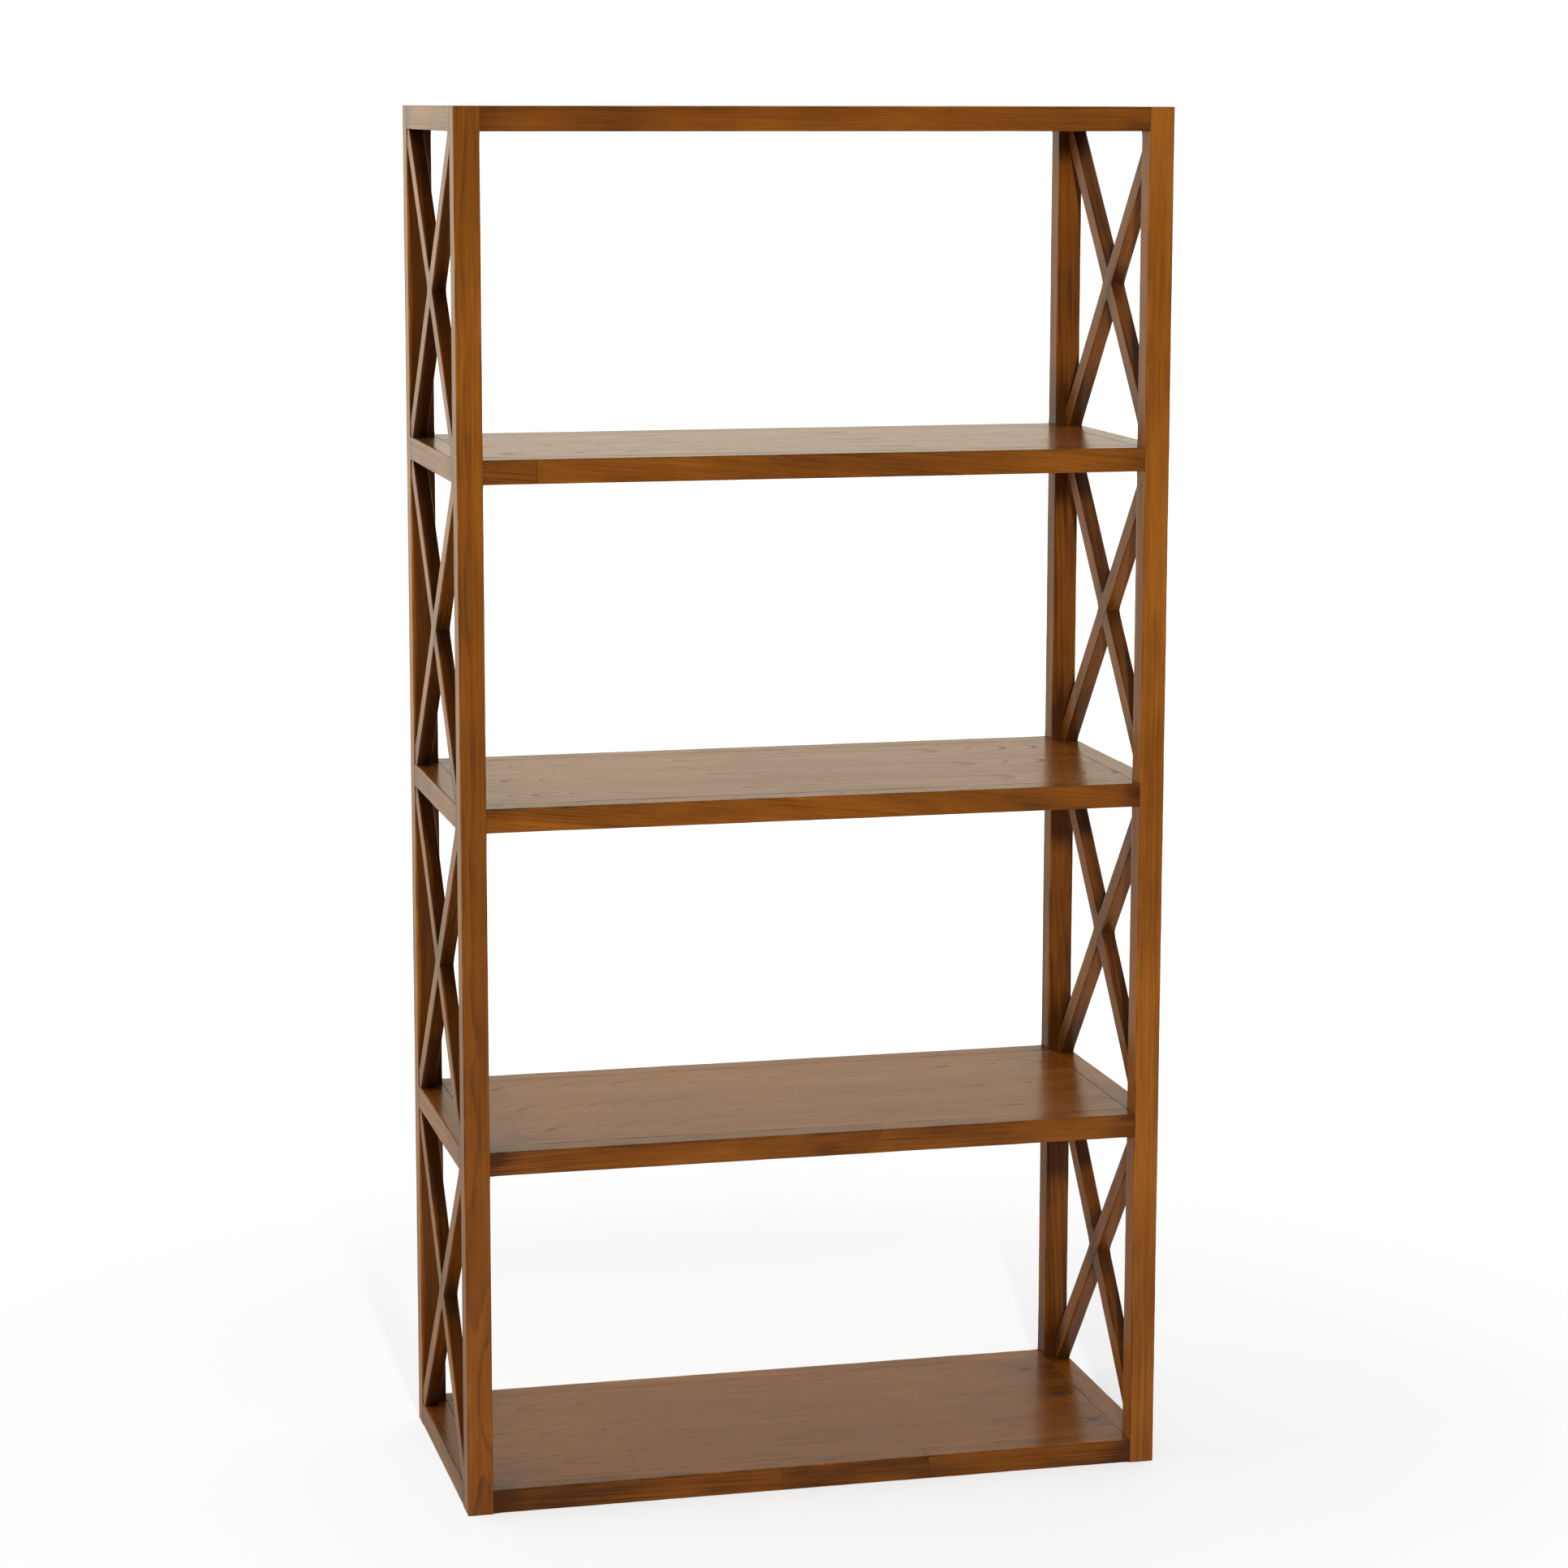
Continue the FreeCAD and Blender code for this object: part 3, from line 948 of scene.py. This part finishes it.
class NodeBench:
    """Short ways to add nodes to a tree and join them."""

    # Sockets of a Mix node that blends colours
    MIX_SHARE, MIX_FIRST, MIX_SECOND, MIX_RESULT = 0, 6, 7, 2

    def __init__(self, tree):
        self.tree = tree
        tree.nodes.clear()

    def add(self, kind, inputs=None, **settings):
        """Adds a node, sets its own settings, and links or fills its inputs."""
        node = self.tree.nodes.new(kind)
        for name, value in settings.items():
            setattr(node, name, value)
        for key, value in (inputs or {}).items():
            self.put(node.inputs[key], value)
        return node

    def put(self, socket, value):
        """Links a socket to another one, or gives it a value."""
        if isinstance(value, bpy.types.NodeSocket):
            self.tree.links.new(value, socket)
        else:
            socket.default_value = value

    def maths(self, operation, *values):
        """One scalar sum."""
        return self.add("ShaderNodeMath", dict(enumerate(values)), operation=operation).outputs[0]

    def vector(self, operation, *values):
        """One vector sum, whose result is a vector."""
        return self.add("ShaderNodeVectorMath", dict(enumerate(values)), operation=operation).outputs[0]

    def length(self, vector):
        """Length of a vector."""
        return self.add("ShaderNodeVectorMath", {0: vector}, operation="LENGTH").outputs["Value"]

    def attribute(self, name, output="Fac"):
        """A value stored on the mesh."""
        return self.add("ShaderNodeAttribute", attribute_name=name).outputs[output]

    def noise(self, vector, name, output="Fac"):
        """One of the wood's noises, stretched along the grain."""
        along, across, detail = NOISES[name]
        stretched = self.vector("MULTIPLY", vector, (along, across, across))
        node = self.add("ShaderNodeTexNoise", {"Vector": stretched, "Scale": 1.0, "Detail": detail})
        return node.outputs[output]

    def wander(self, vector, noise, reach):
        """A vector moved across the grain by coloured noise, by as much as half the reach each way."""
        centred = self.vector("SUBTRACT", noise, (0.5, 0.5, 0.5))
        return self.vector("MULTIPLY_ADD", centred, (0.0, reach, reach), vector)

    def ramp(self, value, low, high, out_low=0.0, out_high=1.0):
        """Smooth step from one range to another."""
        inputs = dict(enumerate((value, low, high, out_low, out_high)))
        return self.add("ShaderNodeMapRange", inputs, interpolation_type="SMOOTHSTEP").outputs[0]

    def mix(self, share, first, second):
        """Blend of two colours."""
        inputs = {self.MIX_SHARE: share, self.MIX_FIRST: first, self.MIX_SECOND: second}
        return self.add("ShaderNodeMix", inputs, data_type="RGBA").outputs[self.MIX_RESULT]


def opaque(colour):
    """A colour with full cover."""
    return (*colour, 1.0)


class Wood(NamedTuple):
    """Patterns that the shade, the gloss and the relief of a wood share"""

    grain: bpy.types.NodeSocket
    log: bpy.types.NodeSocket
    late: bpy.types.NodeSocket
    fibres: bpy.types.NodeSocket
    streaks: bpy.types.NodeSocket
    pores: bpy.types.NodeSocket


def wood_patterns(bench, look):
    """The grain, the same with a wander, the dark line of each ring, and fibres, streaks and pores.

    A ring is a year: the distance from the pith over the ring spacing, made uneven by noise. Its line rises
    through the late part of the year and ends at once, and noise lets it fade except where a figure shows."""
    grain = bench.attribute("grain", "Vector")
    log = bench.wander(grain, bench.noise(grain, "slow_wander", "Color"), SLOW_WANDER)
    log = bench.wander(log, bench.noise(grain, "quick_wander", "Color"), QUICK_WANDER)
    radius = bench.length(bench.vector("MULTIPLY", log, (0.0, 1.0, 1.0)))
    years = bench.maths("DIVIDE", radius, look.ring)
    uneven = bench.add(
        "ShaderNodeTexNoise", {"W": years, "Scale": UNEVEN_SCALE, "Detail": 1.0}, noise_dimensions="1D")
    years = bench.maths("MULTIPLY_ADD", uneven.outputs["Fac"], UNEVEN_YEARS, years)
    season = bench.maths("FRACT", years)
    late = bench.ramp(season, look.line_start, LINE_FULL)
    late = bench.maths("MULTIPLY", late, bench.ramp(season, *RAMPS["line_end"]))
    shown = bench.ramp(bench.noise(grain, "shown"), *RAMPS["shown"])
    shown = bench.maths("MAXIMUM", shown, bench.attribute("figured"))
    late = bench.maths("MULTIPLY", late, shown)
    pores = bench.ramp(bench.noise(grain, "pores"), *RAMPS["pores"])
    return Wood(grain, log, late, bench.noise(grain, "fibres"), bench.noise(log, "streaks"), pores)


def wood_shade(bench, wood, look):
    """How dark the wood is: its tone with some painted light and shade, its lines, noise about the mean,
    rubbed edges, and gathered stain, partly painted shade below each level.
    """
    shade = bench.maths("MULTIPLY_ADD", wood.late, look.lines, bench.attribute("tone"))
    strengths = (
        (wood.fibres, FIBRE_STRENGTH),
        (wood.streaks, look.streaks),
        (bench.noise(wood.log, "blotches"), look.blotches),
        (bench.noise(wood.grain, "drift"), DRIFT_STRENGTH),
    )
    for pattern, strength in strengths:
        shade = bench.maths("MULTIPLY_ADD", bench.maths("SUBTRACT", pattern, 0.5), strength, shade)
    shade = bench.maths("ADD", shade, MEAN_SHADE)
    rubbing = bench.ramp(bench.noise(wood.grain, "rubbing"), *RAMPS["rubbing"])
    shade = bench.maths("MULTIPLY_ADD", bench.attribute("rubbed"), rubbing, shade)
    space = bench.add("ShaderNodeTexCoord").outputs["Object"] if look.smudged_by_place else wood.grain
    smudges = bench.ramp(bench.noise(space, "smudges"), *RAMPS["smudges"])
    smudges = bench.maths("MULTIPLY", smudges, bench.attribute("gathered"))
    return bench.maths("MULTIPLY_ADD", smudges, look.gathered, shade)


def wood_colour(bench, wood, line, colours, look):
    """Light, middle or dark by the shade, with dirt in the joint lines and the pores."""
    shade = wood_shade(bench, wood, look)
    colour = bench.mix(bench.ramp(shade, *RAMPS["to_dark"]), opaque(colours.middle), opaque(colours.dark))
    colour = bench.mix(bench.ramp(shade, *RAMPS["to_light"]), colour, opaque(colours.light))
    dirt = bench.maths("MAXIMUM", line, bench.maths("MULTIPLY", wood.pores, PORE_DIRT))
    return bench.mix(dirt, colour, opaque(colours.joint))


def wood_roughness(bench, wood, line, look):
    """Satin gloss, duller in streaks, dark lines, pores and joints."""
    dull = bench.maths("MULTIPLY", wood.pores, look.dull)
    dull = bench.maths("MULTIPLY_ADD", wood.late, look.dull, dull)
    roughness = bench.maths("MULTIPLY_ADD", wood.streaks, STREAK_ROUGHNESS, ROUGHNESS)
    roughness = bench.maths("ADD", roughness, dull)
    return bench.maths("MULTIPLY_ADD", line, JOINT_ROUGHNESS, roughness)


def wood_relief(bench, wood):
    """Fibres that stand up a little, with pores and dark lines sunk between them."""
    relief = bench.maths("MULTIPLY", wood.fibres, FIBRE_RELIEF)
    relief = bench.maths("MULTIPLY_ADD", wood.pores, PORE_RELIEF, relief)
    relief = bench.maths("MULTIPLY_ADD", wood.late, LINE_RELIEF, relief)
    inputs = {"Height": relief, "Strength": RELIEF_STRENGTH, "Distance": RELIEF_HEIGHT}
    return bench.add("ShaderNodeBump", inputs).outputs[0]


def stained_wood(name, colours, look):
    """Satin lacquer on stained wood, whose joint lines are dirty here and there."""
    material = bpy.data.materials.new(name)
    material.use_nodes = True
    bench = NodeBench(material.node_tree)
    wood = wood_patterns(bench, look)
    dirt = bench.ramp(bench.noise(wood.grain, "joint_dirt"), *DIRT_RAMP, look.seam_least, DIRT_MOST)
    line = bench.maths("MULTIPLY", bench.attribute("joint_line"), dirt)
    shader = bench.add("ShaderNodeBsdfPrincipled", {
        "Base Color": wood_colour(bench, wood, line, colours, look),
        "Roughness": wood_roughness(bench, wood, line, look),
        "Normal": wood_relief(bench, wood),
        "IOR": LACQUER_IOR,
        "Specular IOR Level": LACQUER_SPECULAR,
    })
    bench.add("ShaderNodeOutputMaterial", {"Surface": shader.outputs[0]})
    return material


def dress(scene, kind, make):
    """Makes all pieces of one kind in their wood."""
    material = stained_wood(f"{kind} wood", scene.shelving_stain, LOOKS[kind])
    for node in nodes_ending(f"_{kind}"):
        make(node, scene.shelving_timber, material)


class SHELVING_OT_posts(bpy.types.Operator):
    """Make the four corner posts"""

    bl_idname = "shelving.posts"
    bl_label = "Make posts"

    def execute(self, context):
        dress(context.scene, "post", make_post)
        return {"FINISHED"}


class SHELVING_OT_rails(bpy.types.Operator):
    """Make the rails of every level"""

    bl_idname = "shelving.rails"
    bl_label = "Make rails"

    def execute(self, context):
        dress(context.scene, "rail", make_rail)
        return {"FINISHED"}


class SHELVING_OT_panels(bpy.types.Operator):
    """Make the shelf panels"""

    bl_idname = "shelving.panels"
    bl_label = "Make panels"

    def execute(self, context):
        dress(context.scene, "panel", make_panel)
        return {"FINISHED"}


class SHELVING_OT_braces(bpy.types.Operator):
    """Make the crossed braces of both sides"""

    bl_idname = "shelving.braces"
    bl_label = "Make braces"

    def execute(self, context):
        dress(context.scene, "brace", make_brace)
        return {"FINISHED"}


def floor_material(colours):
    """A matt floor whose lit colour gives way to plain white towards its rim, for what the camera sees."""
    material = bpy.data.materials.new("studio floor")
    material.use_nodes = True
    bench = NodeBench(material.node_tree)
    place = bench.add("ShaderNodeTexCoord").outputs["Object"]
    fade = bench.ramp(bench.length(place), *FLOOR_FADE, FLOOR_WHITE, 1.0)
    fade = bench.maths("MULTIPLY", fade, bench.add("ShaderNodeLightPath").outputs["Is Camera Ray"])
    lit = bench.add("ShaderNodeBsdfDiffuse", {"Color": opaque(colours.floor)})
    white = bench.add("ShaderNodeEmission", {"Color": WHITE, "Strength": 1.0})
    blend = bench.add("ShaderNodeMixShader", {0: fade, 1: lit.outputs[0], 2: white.outputs[0]})
    bench.add("ShaderNodeOutputMaterial", {"Surface": blend.outputs[0]})
    return material


def make_floor(colours):
    """A flat square floor: a grid of two points each way at height 0."""
    steps = np.array((-FLOOR_HALF, FLOOR_HALF))
    plan = np.stack(np.meshgrid(steps, steps, indexing="ij"), axis=-1)
    mesh = bpy.data.meshes.new("studio floor")
    mesh.from_pydata(raised(plan, 0.0).reshape(-1, 3).tolist(), [], [(0, 2, 3, 1)])
    mesh.materials.append(floor_material(colours))
    floor = bpy.data.objects.new("studio_floor", mesh)
    bpy.context.scene.collection.objects.link(floor)
    floor.visible_glossy = False


def make_world(settings):
    """A white room for the camera, with other light that comes mostly from the rear.

    Gloss sees warm walls, brightest at eye level, dimmer on the left and dimmest in front of the unit."""
    world = bpy.data.worlds.new("studio room")
    world.use_nodes = True
    bench = NodeBench(world.node_tree)
    path = bench.add("ShaderNodeLightPath").outputs
    way = bench.add("ShaderNodeTexCoord").outputs["Generated"]
    to_right, to_rear, climb = bench.add("ShaderNodeSeparateXYZ", {0: way}).outputs
    walls = bench.ramp(bench.maths("ABSOLUTE", climb), *CLIMB_FADE)
    walls = bench.maths("MULTIPLY", walls, bench.ramp(to_right, *LEFT_FADE))
    walls = bench.ramp(to_rear, *GLOSS_FADE, settings.front_gloom, walls)
    shine = bench.maths("MAXIMUM", path["Is Glossy Ray"], path["Is Transmission Ray"])
    even = bench.ramp(to_rear, *EVEN_FADE, FRONT_SHARE * settings.room_light, settings.room_light)
    even = bench.maths("MULTIPLY", bench.maths("SUBTRACT", 1.0, shine), even)
    level = bench.maths("ADD", bench.maths("MULTIPLY", shine, walls), even)
    level = bench.maths("MAXIMUM", level, path["Is Camera Ray"])
    colour = bench.mix(shine, WHITE, opaque(settings.wall_colour))
    light = bench.add("ShaderNodeBackground", {"Color": colour, "Strength": level})
    bench.add("ShaderNodeOutputWorld", {"Surface": light.outputs[0]})
    bpy.context.scene.world = world


def looking(place, target):
    """Turn that points a lamp placed at one point towards another."""
    ahead, aside, climb = target[1] - place[1], target[0] - place[0], target[2] - place[2]
    return math.atan2(math.hypot(aside, ahead), -climb), 0.0, math.atan2(-aside, ahead)


def make_lamp(name, place, size, power):
    """An oblong soft lamp that shines at the middle of the unit."""
    lamp = bpy.data.lights.new(name, "AREA")
    lamp.shape = "RECTANGLE"
    lamp.size, lamp.size_y = size
    lamp.energy = power
    holder = bpy.data.objects.new(name, lamp)
    holder.location = place
    holder.rotation_euler = looking(place, LAMP_AIM)
    holder.visible_glossy = False
    bpy.context.scene.collection.objects.link(holder)


def make_camera(settings):
    """A camera that stands, turns and shifts as the settings say."""
    data = bpy.data.cameras.new("studio camera")
    data.sensor_width = SENSOR_WIDTH
    data.lens = settings.lens
    data.shift_y = settings.lens_shift
    camera = bpy.data.objects.new("studio camera", data)
    turn = Matrix.Rotation(-settings.camera_yaw, 4, "Z")
    tilt = Matrix.Rotation(QUARTER_TURN - settings.camera_pitch, 4, "X")
    roll = Matrix.Rotation(settings.camera_roll, 4, "Z")
    camera.matrix_world = Matrix.Translation(settings.camera_place) @ turn @ tilt @ roll
    bpy.context.scene.collection.objects.link(camera)
    bpy.context.scene.camera = camera


class SHELVING_OT_stage(bpy.types.Operator):
    """Set up the floor, the light and the camera"""

    bl_idname = "shelving.stage"
    bl_label = "Set the stage"

    def execute(self, context):
        settings = context.scene.shelving_studio
        context.scene.view_settings.view_transform = "Standard"
        make_floor(context.scene.shelving_stain)
        make_world(settings)
        make_lamp("key lamp", KEY_PLACE, KEY_SIZE, settings.key_power)
        make_lamp("fill lamp", FILL_PLACE, FILL_SIZE, settings.fill_power)
        make_camera(settings)
        return {"FINISHED"}


class SHELVING_PT_sidebar(bpy.types.Panel):
    """Sizes, colours and makers of the shelving unit"""

    bl_idname = "SHELVING_PT_sidebar"
    bl_label = "Shelving Unit"
    bl_space_type = "VIEW_3D"
    bl_region_type = "UI"
    bl_category = "Shelving Unit"

    def draw(self, context):
        for name, group in GROUPS.items():
            box = self.layout.box()
            for setting in group.__annotations__:
                box.prop(getattr(context.scene, name), setting)
        for operator in OPERATORS:
            self.layout.operator(operator.bl_idname)


GROUPS = {"shelving_timber": TimberSizes, "shelving_stain": StainColours, "shelving_studio": StudioSettings}
OPERATORS = (SHELVING_OT_posts, SHELVING_OT_rails, SHELVING_OT_panels, SHELVING_OT_braces, SHELVING_OT_stage)


def register():
    """Registers the classes and puts their settings on the scene."""
    for group in (*GROUPS.values(), *OPERATORS, SHELVING_PT_sidebar):
        bpy.utils.register_class(group)
    for name, group in GROUPS.items():
        setattr(bpy.types.Scene, name, bpy.props.PointerProperty(type=group))


def unregister():
    """Takes the settings and the classes away again."""
    for name in GROUPS:
        delattr(bpy.types.Scene, name)
    for group in (SHELVING_PT_sidebar, *reversed(OPERATORS), *GROUPS.values()):
        bpy.utils.unregister_class(group)


def main():
    register()
    bpy.ops.shelving.posts()
    bpy.ops.shelving.rails()
    bpy.ops.shelving.panels()
    bpy.ops.shelving.braces()
    bpy.ops.shelving.stage()


if __name__ == "__main__":
    main()
